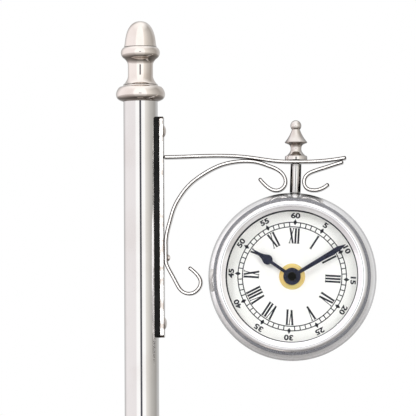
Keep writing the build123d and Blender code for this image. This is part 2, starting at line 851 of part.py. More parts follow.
# Bezel: a turned ring, its skirt inside the case's bore, its lip over the glass
lip_f = gasket_f + gasket_t + fit
seat_f = case_half_depth + fit
crest_f = seat_f + bezel_crest_rise
with BuildPart() as bezel:
    with BuildSketch(turned):
        with BuildLine():
            skirt_low = (case_bore_r - fit, dial_f + fit)
            step = (bezel_step_r, seat_f + bezel_edge_h)
            band_foot = (bezel_step_r, step[1] + 0.5)
            band_top = (bezel_lip_outer_r, crest_f - 0.35)
            Polyline(
                skirt_low,
                (case_bore_r - fit, seat_f),
                (bezel_r, seat_f),
                (bezel_r, step[1]),
                step,
                band_foot,
            )
            ThreePointArc(band_foot, (bezel_crest_r, crest_f), band_top)
            Polyline(
                band_top,
                (bezel_lip_outer_r, band_top[1] - 0.4),
                (bezel_opening_r, lip_f + 0.5),
                (bezel_opening_r, lip_f),
                (glass_r + 2 * fit, lip_f),
                (glass_r + 2 * fit, dial_f + fit),
                skirt_low,
            )
        make_face()
    revolve(axis=head_axis)
bezel.part.label = "bezel"
export_step(bezel.part, "parts/bezel.step")


def ring(f, depth, outer, inner):
    """A flat ring on the head's axis, its back at f."""
    with BuildSketch(face_plane(f)) as flat:
        Circle(outer)
        Circle(inner, mode=Mode.SUBTRACT)
    extrude(flat.sketch, amount=depth)


# Bush with its two washers and nut, which hold the movement to the dial
with BuildPart() as rubber_washer:
    ring(move_front_f + fit, rubber_washer_t, rubber_washer_r, bushing_r + fit)
rubber_washer.part.label = "rubber_washer"
export_step(rubber_washer.part, "parts/rubber_washer.step")

with BuildPart() as brass_washer:
    ring(dial_f + fit, brass_washer_t, brass_washer_r, bushing_r + fit)
    fillet(brass_washer.faces().sort_by(Axis.Y)[0].outer_wire().edges(), 0.2)
brass_washer.part.label = "brass_washer"
export_step(brass_washer.part, "parts/brass_washer.step")

with BuildPart() as brass_nut:
    ring(nut_f, brass_nut_h, brass_nut_r, bushing_r + fit)
    fillet(brass_nut.faces().sort_by(Axis.Y)[0].outer_wire().edges(), 0.5)
brass_nut.part.label = "brass_nut"
export_step(brass_nut.part, "parts/brass_nut.step")

with BuildPart() as hand_bushing:
    ring(flange_f, bushing_flange_t, bushing_flange_r, pipe_r + running)
    ring(inner_wall_f - fit, nut_f + brass_nut_h + fit - inner_wall_f, bushing_r, pipe_r + running)
hand_bushing.part.label = "hand_bushing"
export_step(hand_bushing.part, "parts/hand_bushing.step")

# Movement: front and rear shells and a plate between, with the battery's bay open to the rear
with BuildPart() as movement_front_shell:
    with BuildSketch(face_plane(shell_split_f)):
        RectangleRounded(move_w, move_w, move_corner_r)
    extrude(amount=move_front_depth)
    with BuildSketch(face_plane(shell_split_f)):
        RectangleRounded(move_w - 2 * move_wall, move_w - 2 * move_wall, move_corner_r - move_wall)
    extrude(amount=move_front_depth - move_wall, mode=Mode.SUBTRACT)
    with BuildSketch(face_plane(shell_split_f)):
        Circle(bushing_r + fit)
    extrude(amount=move_front_depth, mode=Mode.SUBTRACT)
movement_front_shell.part.label = "movement_front_shell"
export_step(movement_front_shell.part, "parts/movement_front_shell.step")

mech_low = bay_high + move_wall
mech_high = move_w / 2 - move_wall
mech_mid = (mech_low + mech_high) / 2
rear_depth = shell_split_f - fit - move_back_f
with BuildPart() as movement_rear_shell:
    with BuildSketch(face_plane(move_back_f)):
        RectangleRounded(move_w, move_w, move_corner_r)
        with Locations((0, battery_up)):
            Rectangle(move_w - 2 * move_wall, bay_high - bay_low, mode=Mode.SUBTRACT)
        with Locations(knob_at):
            Circle(knob_shaft_r + running, mode=Mode.SUBTRACT)
    extrude(amount=rear_depth)
    with BuildSketch(face_plane(move_back_f + move_wall)):
        with Locations((0, mech_mid)):
            Rectangle(move_w - 2 * move_wall, mech_high - mech_low)
    extrude(amount=rear_depth, mode=Mode.SUBTRACT)
    fillet(movement_rear_shell.faces().sort_by(Axis.Y)[-1].outer_wire().edges(), 0.6)
movement_rear_shell.part.label = "movement_rear_shell"
export_step(movement_rear_shell.part, "parts/movement_rear_shell.step")

with BuildPart() as movement_mid_plate:
    with BuildSketch(face_plane(mid_plate_f)):
        with Locations((0, mech_mid)):
            Rectangle(move_w - 2 * move_wall - 4 * fit, mech_high - mech_low - 4 * fit)
        Circle(arbor_r + running, mode=Mode.SUBTRACT)
        with Locations(wheel_at):
            Circle(arbor_r + running, mode=Mode.SUBTRACT)
        with Locations(knob_at):
            Circle(knob_shaft_r + running, mode=Mode.SUBTRACT)
    extrude(amount=mid_plate_t)
movement_mid_plate.part.label = "movement_mid_plate"
export_step(movement_mid_plate.part, "parts/movement_mid_plate.step")


def gear(f, depth, at, teeth, first_tooth, bore=0.0):
    """A spur gear at a place on the head's face, with one tooth pointing at first_tooth degrees."""
    pitch_r = gear_module * teeth / 2
    tip_r = pitch_r + 0.8 * gear_module
    root_r = pitch_r - 1.2 * gear_module
    half_pitch = pi * gear_module / 2
    flank_line = [(root_r, 0.42 * half_pitch), (pitch_r, 0.32 * half_pitch), (tip_r, 0.15 * half_pitch)]
    other_flank = [(out, -across) for out, across in reversed(flank_line)]
    with BuildSketch(face_plane(f, at=at)) as toothed:
        Circle(root_r)
        with BuildLine():
            Polyline((0, 0), *flank_line, *other_flank, close=True)
        with PolarLocations(0, teeth, start_angle=first_tooth):
            add(make_face(mode=Mode.PRIVATE))
        if bore:
            Circle(bore, mode=Mode.SUBTRACT)
    extrude(toothed.sketch, amount=depth)


def shaft(f, end_f, radius, at=(0, 0)):
    """A round shaft on the head's face, from f to end_f in front of the case's middle."""
    with BuildSketch(face_plane(f, at=at)) as round_end:
        Circle(radius)
    extrude(round_end.sketch, amount=end_f - f)


# Motion work
pivot_f = mid_plate_f - 0.4
hour_pipe_f = hour_hand_f + hand_t + 0.1
with BuildPart() as minute_arbor:
    gear(wheel_f - end_play, wheel_t + 2 * end_play, (0, 0), pinion_teeth, gear_angle)
    shaft(pivot_f, wheel_f, arbor_r)
    shaft(wheel_f, minute_hand_f - end_play, pipe_r - pipe_wall - running)
    shaft(wheel_f, minute_hand_f + hand_t + fit, arbor_r + 0.4)
minute_arbor.part.label = "minute_arbor"
export_step(minute_arbor.part, "parts/minute_arbor.step")

small_pitch = 180 / wheel_teeth
with BuildPart() as minute_wheel:
    gear(wheel_f, wheel_t, wheel_at, wheel_teeth, gear_angle + 180 + small_pitch)
    gear(wheel_f + wheel_t, wheel_t + 3 * end_play, wheel_at, small_teeth, gear_angle + 180)
    shaft(pivot_f, inner_wall_f - fit, arbor_r, wheel_at)
minute_wheel.part.label = "minute_wheel"
export_step(minute_wheel.part, "parts/minute_wheel.step")

pipe_bore = pipe_r - pipe_wall
with BuildPart() as hour_wheel:
    gear(hour_wheel_f, wheel_t, (0, 0), hour_teeth, gear_angle + 180 / hour_teeth, pipe_bore)
    ring(hour_wheel_f, hour_pipe_f - hour_wheel_f, pipe_r, pipe_bore)
hour_wheel.part.label = "hour_wheel"
export_step(hour_wheel.part, "parts/hour_wheel.step")

# Setting knob at the rear, geared to the minute wheel
knob_f = move_back_f - end_play
with BuildPart() as set_knob:
    knob_tooth = gear_angle + 180 + 180 / pinion_teeth
    gear(wheel_f - end_play, wheel_t + 2 * end_play, knob_at, pinion_teeth, knob_tooth)
    shaft(knob_f, wheel_f, knob_shaft_r, knob_at)
    with BuildSketch(face_plane(knob_f, at=knob_at)):
        Circle(knob_disc_r)
        with PolarLocations(knob_disc_r + 0.2, knob_ribs):
            Circle(0.45, mode=Mode.SUBTRACT)
    extrude(amount=-knob_disc_h)
set_knob.part.label = "set_knob"
export_step(set_knob.part, "parts/set_knob.step")

# Hands
with BuildPart() as hour_hand:
    with BuildSketch(face_plane(hour_hand_f, hour_angle)):
        Circle(hub_r - 0.3)
        with BuildLine():
            half = hour_root_w / 2
            neck = hour_spade_l - 2.6
            side_line = [(half, neck), (hour_spade_w / 2, hour_spade_l), (0.9, hour_spade_l + 6.4)]
            Line((half, 0), side_line[0])
            Spline(*side_line, tangents=[(1, 0.3), (-0.15, 1)])
            Polyline(side_line[2], (0.15, hour_l), (-0.15, hour_l), (-0.9, hour_spade_l + 6.4))
            other = [(-x, y) for x, y in reversed(side_line)]
            Spline(*other, tangents=[(-0.15, -1), (1, -0.3)])
            Polyline(other[2], (-half, 0), (half, 0))
        make_face()
        Circle(pipe_r + fit, mode=Mode.SUBTRACT)
    extrude(amount=hand_t)
hour_hand.part.label = "hour_hand"
export_step(hour_hand.part, "parts/hour_hand.step")

with BuildPart() as minute_hand:
    with BuildSketch(face_plane(minute_hand_f, minute_angle)):
        Circle(hub_r)
        with BuildLine():
            Polyline(
                (minute_root_w / 2, 0),
                (minute_belly_w / 2, minute_belly_l),
                (0.15, minute_l),
                (-0.15, minute_l),
                (-minute_belly_w / 2, minute_belly_l),
                (-minute_root_w / 2, 0),
                close=True,
            )
        make_face()
        Circle(arbor_r + 0.4 + 0.02, mode=Mode.SUBTRACT)
    extrude(amount=hand_t)
minute_hand.part.label = "minute_hand"
export_step(minute_hand.part, "parts/minute_hand.step")

cap_f = minute_hand_f + hand_t + fit
with BuildPart() as hand_cap:
    with BuildSketch(face_plane(cap_f + fit)):
        Circle(hand_cap_r)
    extrude(amount=hand_cap_h)
    fillet(hand_cap.faces().sort_by(Axis.Y)[0].edges(), 0.3)
hand_cap.part.label = "hand_cap"
export_step(hand_cap.part, "parts/hand_cap.step")

# Battery and its contacts
cell_plane = Plane(
    origin=head + forward * battery_f + head_up * battery_up,
    x_dir=head_up,
    z_dir=head_side,
)
with BuildPart() as battery:
    with BuildSketch(cell_plane.offset(-battery_l / 2)):
        Circle(battery_r)
    extrude(amount=battery_l)
    fillet(battery.edges().filter_by(GeomType.CIRCLE), 0.6)
    with BuildSketch(cell_plane.offset(battery_l / 2)):
        Circle(battery_nub_r)
    extrude(amount=battery_nub_h)
battery.part.label = "battery"
export_step(battery.part, "parts/battery.step")

contact_h = 2 * battery_r - 2
with BuildPart() as battery_contacts:
    for contact_x in (-battery_l / 2 - end_play - contact_t, battery_l / 2 + battery_nub_h + end_play):
        with BuildSketch(cell_plane.offset(contact_x)):
            Rectangle(contact_h, contact_h)
        extrude(amount=contact_t)
    for wall_x in (-move_w / 2 + move_wall + fit, move_w / 2 - move_wall - fit):
        near_x = -battery_l / 2 - end_play if wall_x < 0 else battery_l / 2 + battery_nub_h + end_play
        with BuildSketch(cell_plane.offset(wall_x)):
            with Locations((contact_h / 2 - 1, 0)):
                Rectangle(2, contact_h)
        extrude(amount=near_x - wall_x)
battery_contacts.part.label = "battery_contacts"
export_step(battery_contacts.part, "parts/battery_contacts.step")

# Step motor and its board, behind the mid plate
stator_at = (-0.22 * move_w, 0.3 * move_w)
stator_f = mid_plate_f - fit - 0.8
with BuildPart() as stator:
    with BuildSketch(face_plane(stator_f)):
        with Locations(stator_at):
            RectangleRounded(coil_l + 6, 9, 1)
    extrude(amount=0.8)
stator.part.label = "stator"
export_step(stator.part, "parts/stator.step")

coil_f = stator_f - fit - coil_r
with BuildPart() as drive_coil:
    coil_plane = Plane(
        origin=head + forward * coil_f + head_side * stator_at[0] + head_up * stator_at[1],
        x_dir=head_up,
        z_dir=head_side,
    )
    with BuildSketch(coil_plane.offset(-coil_l / 2)):
        Circle(coil_r - 0.4)
    extrude(amount=coil_l)
    with BuildSketch(coil_plane.offset(-coil_l / 2), coil_plane.offset(coil_l / 2 - 1)):
        Circle(coil_r)
    extrude(amount=1)
    with BuildSketch(coil_plane.offset(-coil_l / 2 - 2)):
        Circle(core_r)
    extrude(amount=coil_l + 4)
drive_coil.part.label = "drive_coil"
export_step(drive_coil.part, "parts/drive_coil.step")

board_h = 0.24 * move_w
board_clear = 1.1
with BuildPart() as circuit_board:
    with BuildSketch(face_plane(stator_f)):
        with Locations((-0.26 * move_w, mech_low + board_clear + board_h / 2)):
            Rectangle(0.4 * move_w, board_h)
    extrude(amount=0.8)
circuit_board.part.label = "circuit_board"
export_step(circuit_board.part, "parts/circuit_board.step")
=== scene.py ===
import math

import bmesh
import bpy
import numpy as np
from mathutils import Matrix, Vector


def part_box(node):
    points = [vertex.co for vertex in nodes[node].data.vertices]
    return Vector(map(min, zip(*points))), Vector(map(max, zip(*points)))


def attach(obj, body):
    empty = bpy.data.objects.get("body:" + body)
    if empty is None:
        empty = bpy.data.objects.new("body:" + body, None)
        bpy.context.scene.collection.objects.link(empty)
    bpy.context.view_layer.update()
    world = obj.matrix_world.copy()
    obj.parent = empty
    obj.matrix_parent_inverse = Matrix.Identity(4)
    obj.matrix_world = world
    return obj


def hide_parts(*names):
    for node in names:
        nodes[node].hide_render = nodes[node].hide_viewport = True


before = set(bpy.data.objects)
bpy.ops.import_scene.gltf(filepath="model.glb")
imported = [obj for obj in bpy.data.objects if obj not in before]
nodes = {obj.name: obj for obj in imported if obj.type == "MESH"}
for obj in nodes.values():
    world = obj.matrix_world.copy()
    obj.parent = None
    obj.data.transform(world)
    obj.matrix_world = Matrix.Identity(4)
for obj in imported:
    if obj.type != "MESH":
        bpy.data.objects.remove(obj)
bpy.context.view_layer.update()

MM = 0.001
MICRON = 0.000001

# The leaning head's own directions, and the middle of its round pieces
LEAN = math.radians(2.2)
HEAD_UP = Vector((math.sin(LEAN), 0, math.cos(LEAN)))
HEAD_SIDE = Vector((math.cos(LEAN), 0, -math.sin(LEAN)))
FORWARD = Vector((0, -1, 0))
dial_low, dial_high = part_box("dial")
HEAD = Vector(((dial_low.x + dial_high.x) / 2, 0, (dial_low.z + dial_high.z) / 2))


# Camera: places in the photo are in pixels from its left and from its top
PHOTO_PX = 416
MIDDLE_X_PX, MIDDLE_Y_PX = 208, 207.7
POST_PX = 141.2
TOP_PX = 20.4
PIXEL = 0.6 * MM
TOP_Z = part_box("finial_knob")[1].z
DISTANCE = 2.5
AZIMUTH = math.radians(2.5)
PITCH = math.radians(2.7)
ROLL = math.radians(-0.3)
SENSOR = 36
CLOSER = 1.004


def add_camera():
    """A long lens from a little below and to the right, rolled slightly as in the photo."""
    target = Vector(((MIDDLE_X_PX - POST_PX) * PIXEL, 0, TOP_Z - (MIDDLE_Y_PX - TOP_PX) * PIXEL))
    flat = math.cos(PITCH)
    away = Vector((math.sin(AZIMUTH) * flat, -math.cos(AZIMUTH) * flat, -math.sin(PITCH)))
    roll = Matrix.Rotation(ROLL, 3, "Z").to_quaternion()
    data = bpy.data.cameras.new("camera")
    data.sensor_width = SENSOR
    data.lens = CLOSER * SENSOR * DISTANCE / (PHOTO_PX * PIXEL)
    data.clip_end = 50
    camera = bpy.data.objects.new("camera", data)
    camera.location = target + away * DISTANCE
    camera.rotation_euler = (away.to_track_quat("Z", "Y") @ roll).to_euler()
    bpy.context.scene.collection.objects.link(camera)
    bpy.context.scene.camera = camera
    bpy.context.scene.view_settings.view_transform = "Standard"


add_camera()


# Shader nodes


class Graph:
    """A short way to write shader nodes."""

    def __init__(self, tree):
        tree.nodes.clear()
        self.tree = tree

    def node(self, kind, inputs=None, **settings):
        made = self.tree.nodes.new(kind)
        for key, value in settings.items():
            setattr(made, key, value)
        for key, value in (inputs or {}).items():
            self.plug(made.inputs[key], value)
        return made

    def plug(self, socket, value):
        if isinstance(value, bpy.types.NodeSocket):
            self.tree.links.new(value, socket)
        elif isinstance(value, bpy.types.Node):
            self.tree.links.new(value.outputs[0], socket)
        elif socket.type == "RGBA":
            socket.default_value = (*value, 1)
        else:
            socket.default_value = value

    def math(self, operation, a, b=0.0):
        return self.node("ShaderNodeMath", {0: a, 1: b}, operation=operation).outputs[0]

    def add(self, a, b):
        return self.math("ADD", a, b)

    def times(self, a, b):
        return self.math("MULTIPLY", a, b)

    def rest_of(self, share):
        return self.math("SUBTRACT", 1.0, share)

    def parts(self, vector):
        return self.node("ShaderNodeSeparateXYZ", {0: vector}).outputs

    def face_normal(self):
        return self.node("ShaderNodeTexCoord").outputs["Normal"]

    def openness(self, reach, samples):
        """How much of the surroundings within this reach is free: 0 in a corner, 1 in the open."""
        return self.node("ShaderNodeAmbientOcclusion", {"Distance": reach}, samples=samples).outputs["AO"]

    def noise(self, where, scale, detail, roughness=0.5):
        inputs = {"Vector": where, "Scale": scale, "Detail": detail, "Roughness": roughness}
        return self.node("ShaderNodeTexNoise", inputs).outputs["Fac"]

    def stretched(self, where, scale):
        return self.node("ShaderNodeMapping", {"Vector": where, "Scale": scale}).outputs[0]

    def ramp(self, share, stops):
        """A colour ramp from (place, colour) stops, where a plain number is a grey."""
        made = self.node("ShaderNodeValToRGB", {"Fac": share})
        elements = made.color_ramp.elements
        while len(elements) < len(stops):
            elements.new(0.5)
        for element, (place, colour) in zip(elements, stops):
            element.position = place
            element.color = (*colour, 1) if hasattr(colour, "__len__") else (colour, colour, colour, 1)
        return made.outputs[0]

    def fit(self, value, low, high, to_low=0.0, to_high=1.0):
        """A smooth step from to_low to to_high while value goes from low to high."""
        inputs = {"Value": value, "From Min": low, "From Max": high, "To Min": to_low, "To Max": to_high}
        return self.node("ShaderNodeMapRange", inputs, interpolation_type="SMOOTHSTEP").outputs[0]

    def mix(self, share, a, b):
        return self.node("ShaderNodeMix", {0: share, 6: a, 7: b}, data_type="RGBA").outputs[2]

    def bump(self, height, depth, normal=None):
        inputs = {"Height": height, "Distance": depth, "Strength": 1.0}
        if normal is not None:
            inputs["Normal"] = normal
        return self.node("ShaderNodeBump", inputs).outputs[0]

    def principled(self, inputs):
        shader = self.node("ShaderNodeBsdfPrincipled", inputs)
        self.node("ShaderNodeOutputMaterial", {"Surface": shader})


def new_material(name):
    """An empty material with its graph and the object's own coordinates."""
    made = bpy.data.materials.new(name)
    made.use_nodes = True
    graph = Graph(made.node_tree)
    return made, graph, graph.node("ShaderNodeTexCoord").outputs["Object"]


def darker(colour, share):
    return tuple(share * channel for channel in colour)


# Metals

SCRATCHED_UPRIGHT = (400, 400, 30)
SCRATCHED_LONG = (500, 500, 12)
WOUND = (12, 900, 900)
SCRATCH_DEPTH = 0.8 * MICRON
STEM_SHADE = (0.02, 0.018, 0.017)
STEM_SHADE_REACH = 18 * MM
CROWN_LOW, CROWN_HIGH = HEAD.z + 44.6 * MM, HEAD.z + 48 * MM


def polished(
    name, tint, dull, rough, wave, grain=SCRATCHED_UPRIGHT, reach=2.5 * MM, grime_and_shade=(0.12, 0.42),
    metal=1.0, rim_shade=None, crown=None, under=0.0,
):
    """Plated and polished metal with clouding, fine scratches along one way, slow waves, and dirt and painted
    shade in corners and joints.

    tint and dull: the colour between the clouds and in them
    rough: least and most roughness
    wave: depth and scale of the slow waves
    grain: stretch of the scratches, longest along the smallest number
    reach, grime: how near a corner the dirt and painted shade start, and the openness between which they
    clear
    rim: (from, to, strength) of the painted shade where the surface turns away from the eye
    crown: heights over which a dark shade near other pieces comes in
    under: strength of the painted shade where the surface faces down
    """
    made, g, where = new_material(name)
    clouds = g.noise(where, scale=45, detail=4)
    colour = g.mix(g.fit(clouds, 0.42, 0.72), tint, dull)

    free = g.add(g.openness(reach, samples=6), g.fit(clouds, 0.3, 0.7, -0.06, 0.06))
    # Dirt and painted shade: darker in corners and joints, where little of the surroundings is open
    colour = g.mix(g.fit(free, *grime_and_shade), darker(dull, 0.12), colour)
    # Painted shade: darker towards the outline, where the surface turns away from the eye
    if rim_shade:
        low, high, strength = rim_shade
        sideways = g.node("ShaderNodeLayerWeight", {"Blend": 0.5}).outputs["Facing"]
        colour = g.mix(g.fit(sideways, low, high, 0.0, strength), colour, darker(dull, 0.25))
    if crown:
        top = g.fit(g.parts(where)[2], *crown)
        near = g.fit(g.openness(STEM_SHADE_REACH, samples=8), 0.93, 0.7, 0.0, 0.95)
        colour = g.mix(g.times(top, near), colour, STEM_SHADE)
    # Painted shade on surfaces that face down
    if under:
        down = g.fit(g.parts(g.face_normal())[2], -0.2, -0.75, 0.0, under)
        colour = g.mix(down, colour, darker(dull, 0.4))

    scratch = g.noise(g.stretched(where, grain), scale=12, detail=3, roughness=0.7)
    pits = g.noise(where, scale=900, detail=2, roughness=0.6)
    wave_depth, wave_scale = wave
    waves = g.bump(g.noise(where, wave_scale, detail=1, roughness=0.4), wave_depth)
    g.principled({
        "Base Color": colour,
        "Roughness": g.add(g.fit(clouds, 0.35, 0.7, *rough), g.fit(scratch, 0.5, 0.8, 0, 0.035)),
        "Normal": g.bump(g.add(scratch, g.times(pits, 0.4)), SCRATCH_DEPTH, waves),
        "Metallic": metal,
    })
    return made


STRIP_CLEAR, STRIP_DULL = (0.90, 0.87, 0.84), (0.78, 0.72, 0.67)
FILED_CLEAR, FILED_DULL = (0.97, 0.965, 0.96), (0.90, 0.885, 0.87)
STRIP_SPOT = (0.30, 0.24, 0.20)
# Painted shade: along the rounded corners, and in corners and underneath
STRIP_CORNER_SHADE = (0.085, 0.065, 0.055)
STRIP_SHADE = (0.03, 0.026, 0.024)
STRIP_SHADE_REACH = 7 * MM
STRIP_WAVE_DEPTH = 140 * MICRON
FILED_DEPTH = 1.5 * MICRON
FILED_ALONG = (900, 60, 900)


def strip_metal(name, worn, rounding=None):
    """Flat strip: polished wide faces, paler filed edges, brown painted shade along the rounded corners, and
    painted shade in corners and on undersides.

    worn: strength of the brown spots
    rounding: radius to which a mesh's sharp corners are shaded round
    """
    made, g, where = new_material(name)
    if rounding:
        faced = g.node("ShaderNodeBevel", {"Radius": rounding}, samples=8).outputs[0]
    else:
        faced = g.face_normal()
    facing = g.parts(faced)
    forward = g.math("ABSOLUTE", facing[1])
    edge = g.fit(forward, 0.9, 0.98)
    corner = g.times(g.fit(forward, 0.02, 0.14), g.rest_of(edge))

    clouds = g.noise(where, scale=60, detail=4)
    filed = g.noise(g.stretched(where, FILED_ALONG), scale=3, detail=3, roughness=0.7)
    spots = g.fit(g.noise(where, scale=150, detail=2), 0.46, 0.6, 0.0, worn)
    colour = g.mix(g.fit(clouds, 0.4, 0.7), STRIP_CLEAR, STRIP_DULL)
    colour = g.mix(edge, colour, g.mix(g.fit(filed, 0.35, 0.7), FILED_CLEAR, FILED_DULL))
    colour = g.mix(spots, colour, STRIP_SPOT)
    # Painted shade along the rounded corners between the wide faces and the edges
    colour = g.mix(corner, colour, STRIP_CORNER_SHADE)

    # Painted shade in corners and on faces that look down
    down = g.fit(facing[2], -0.75, -0.96)
    free = g.fit(g.openness(STRIP_SHADE_REACH, samples=6), 0.1, 0.55)
    colour = g.mix(g.math("MINIMUM", free, g.rest_of(g.times(down, 0.95))), STRIP_SHADE, colour)

    slow = g.noise(where, scale=55, detail=1, roughness=0.4)
    waves = g.bump(slow, STRIP_WAVE_DEPTH, faced if rounding else None)
    g.principled({
        "Base Color": colour,
        "Roughness": g.add(g.fit(clouds, 0.35, 0.7, 0.07, 0.15), g.times(edge, 0.24)),
        "Normal": g.bump(filed, FILED_DEPTH, waves),
        "Metallic": g.rest_of(g.times(edge, 0.8)),
    })
    return made


NICKEL = polished(
    "nickel_polished", (0.97, 0.905, 0.855), (0.74, 0.64, 0.57), rough=(0.03, 0.075),
    wave=(400 * MICRON, 60), reach=3 * MM, grime_and_shade=(0.3, 0.66), under=0.85,
)
# The finial's peach tint is a painted warm reflection
FINIAL = polished(
    "nickel_finial", (0.95, 0.915, 0.89), (0.66, 0.575, 0.52), rough=(0.03, 0.07),
    wave=(200 * MICRON, 90), reach=3 * MM, grime_and_shade=(0.2, 0.7), rim_shade=(0.36, 0.85, 0.9), under=0.9,
)
# The bezel and the case are painted whiter than the nickel, the bezel with a lilac cast: painted reflection
BEZEL = polished(
    "nickel_bezel", (0.95, 0.945, 0.965), (0.89, 0.885, 0.91), rough=(0.03, 0.07),
    wave=(50 * MICRON, 14), reach=1.2 * MM, grime_and_shade=(0.3, 0.68), metal=0.88, rim_shade=(0.42, 0.74, 0.88),
)
CASE = polished(
    "nickel_case", (0.985, 0.98, 0.99), (0.95, 0.945, 0.96), rough=(0.03, 0.07),
    wave=(50 * MICRON, 14), reach=1.2 * MM, grime_and_shade=(0.3, 0.68), metal=0.8, rim_shade=(0.66, 0.78, 0.45),
    crown=(CROWN_LOW, CROWN_HIGH),
)
TUBE = polished(
    "nickel_tube", (0.87, 0.86, 0.85), (0.83, 0.81, 0.795), rough=(0.03, 0.07),
    wave=(50 * MICRON, 9), grain=SCRATCHED_LONG,
)
# On the stem the wide reach paints shade where the scrolls and the arm stand close
STEM = polished(
    "nickel_stem", (0.87, 0.86, 0.845), (0.82, 0.80, 0.78), rough=(0.03, 0.07),
    wave=(40 * MICRON, 30), grain=SCRATCHED_LONG, reach=12 * MM, grime_and_shade=(0.42, 0.72),
)
STRIP = strip_metal("nickel_strip", worn=0.12)
PLATE = strip_metal("nickel_plate", worn=0.7, rounding=0.8 * MM)
ZINC = polished(
    "zinc_steel", (0.62, 0.64, 0.66), (0.50, 0.51, 0.53), rough=(0.22, 0.36), wave=(40 * MICRON, 200),
)
BRASS = polished(
    "brass_turned", (1.0, 0.84, 0.34), (1.0, 0.66, 0.22), rough=(0.16, 0.28),
    wave=(30 * MICRON, 120), reach=1 * MM, grime_and_shade=(0.1, 0.3), metal=0.4,
)
CAN = polished(
    "battery_can", (0.55, 0.56, 0.58), (0.45, 0.46, 0.48), rough=(0.2, 0.32), wave=(20 * MICRON, 90),
)
CAP = polished(
    "cap_satin", (0.105, 0.105, 0.085), (0.07, 0.07, 0.055), rough=(0.3, 0.42), wave=(40 * MICRON, 250),
)
COPPER = polished(
    "coil_wire", (0.80, 0.36, 0.18), (0.62, 0.24, 0.11), rough=(0.25, 0.38),
    wave=(20 * MICRON, 300), grain=WOUND,
)


# Plastics, paints, print and felt


def plastic(name, colour, other, rough, grain, mottling, coat=0.0, shine=0.5):
    """Moulded, painted or fibrous surface: faint mottling and a fine grain of this scale and depth."""
    made, g, where = new_material(name)
    grain_scale, grain_depth = grain
    clouds = g.noise(where, mottling, detail=4, roughness=0.6)
    fine = g.noise(where, grain_scale, detail=2, roughness=0.6)
    g.principled({
        "Base Color": g.mix(g.fit(clouds, 0.35, 0.7), colour, other),
        "Roughness": g.fit(fine, 0.3, 0.7, rough - 0.06, rough + 0.08),
        "Normal": g.bump(fine, grain_depth),
        "Specular IOR Level": shine,
        "Coat Weight": coat,
        "Coat Roughness": 0.08,
    })
    return made


IRON = plastic("cast_iron", (0.05, 0.05, 0.052), (0.10, 0.075, 0.06), 0.6, (500, 200 * MICRON), 60)
DIAL = plastic("dial_card", (0.96, 0.957, 0.945), (0.945, 0.94, 0.925), 0.55, (1500, 8 * MICRON), 30)
RING = plastic("ring_card", (0.84, 0.84, 0.82), (0.78, 0.78, 0.75), 0.5, (1200, 10 * MICRON), 60)
HAND = plastic(
    "hand_lacquer", (0.012, 0.015, 0.034), (0.018, 0.021, 0.045), 0.22, (1400, 6 * MICRON), 150, coat=0.5,
)
INK = plastic("dial_ink", (0.006, 0.007, 0.015), (0.012, 0.014, 0.025), 0.4, (2000, 4 * MICRON), 400)
FELT = plastic("felt_fibres", (0.016, 0.035, 0.022), (0.03, 0.06, 0.038), 0.9, (2600, 400 * MICRON), 120)
RUBBER = plastic(
    "rubber_black", (0.004, 0.004, 0.004), (0.008, 0.008, 0.008), 0.5, (1600, 30 * MICRON), 90, shine=0.1,
)
SEAL = plastic("seal_grey", (0.30, 0.30, 0.30), (0.24, 0.24, 0.24), 0.5, (1500, 20 * MICRON), 120)
GEAR = plastic("gear_nylon", (0.72, 0.71, 0.66), (0.64, 0.63, 0.58), 0.38, (900, 10 * MICRON), 150)
SHELL = plastic("movement_black", (0.012, 0.012, 0.013), (0.02, 0.02, 0.021), 0.42, (1100, 30 * MICRON), 80)
BOARD = plastic(
    "board_mask", (0.02, 0.13, 0.05), (0.03, 0.19, 0.08), 0.3, (900, 20 * MICRON), 260, coat=0.4,
)


def clear_glass():
    """Flat clear glass, mostly see-through, with faint smears and a reflection that grows seen aslant."""
    made, g, where = new_material("glass_clear")
    smear = g.noise(g.stretched(where, (40, 40, 90)), scale=2, detail=4)
    bent = g.bump(g.noise(where, scale=18, detail=1), 30 * MICRON)
    see = g.node("ShaderNodeBsdfTransparent", {"Color": (0.995, 0.997, 0.995)})
    gloss = g.node("ShaderNodeBsdfGlossy", {"Roughness": g.fit(smear, 0.4, 0.7, 0.0, 0.05), "Normal": bent})
    fresnel = g.node("ShaderNodeFresnel", {"IOR": 1.45, "Normal": bent})
    mixed = g.node("ShaderNodeMixShader", {0: g.times(fresnel.outputs[0], 0.8), 1: see, 2: gloss})
    g.node("ShaderNodeOutputMaterial", {"Surface": mixed})
    return made


# Finishes on the frame's pieces: by slot, or by name for pieces that need their own
SLOT_FINISH = {
    "nickel": NICKEL,
    "zinc_steel": ZINC,
    "ballast_iron": IRON,
    "yellow_brass": BRASS,
    "coil_copper": COPPER,
    "battery_can": CAN,
    "clear_glass": clear_glass(),
    "dial_white": DIAL,
    "hand_black": HAND,
    "cap_grey": CAP,
    "felt": FELT,
    "black_rubber": RUBBER,
    "grey_seal": SEAL,
    "ring_white": RING,
    "gear_plastic": GEAR,
    "movement_plastic": SHELL,
    "board_green": BOARD,
}
NODE_FINISH = {
    "post_tube": TUBE,
    "stem_tube": STEM,
    "bracket_plate": PLATE,
    "top_finial": FINIAL,
    "case_body": CASE,
    "bezel": BEZEL,
}
for name, node in nodes.items():
    slot = node.data.materials[0].name.split(".")[0]
    finish = NODE_FINISH.get(name, SLOT_FINISH[slot])
    for material_slot in node.material_slots:
        material_slot.material = finish


# Pieces made here


def make_piece(name, mesh, body, finish, replaced=()):
    piece = bpy.data.objects.new(name, mesh)
    bpy.context.scene.collection.objects.link(piece)
    mesh.materials.append(finish)
    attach(piece, body)
    if replaced:
        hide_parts(*replaced)


def join_rings(bm, first, second):
    """Faces between two closed rings of vertices."""
    for k in range(len(first)):
        n = (k + 1) % len(first)
        bm.faces.new((first[k], first[n], second[n], second[k]))


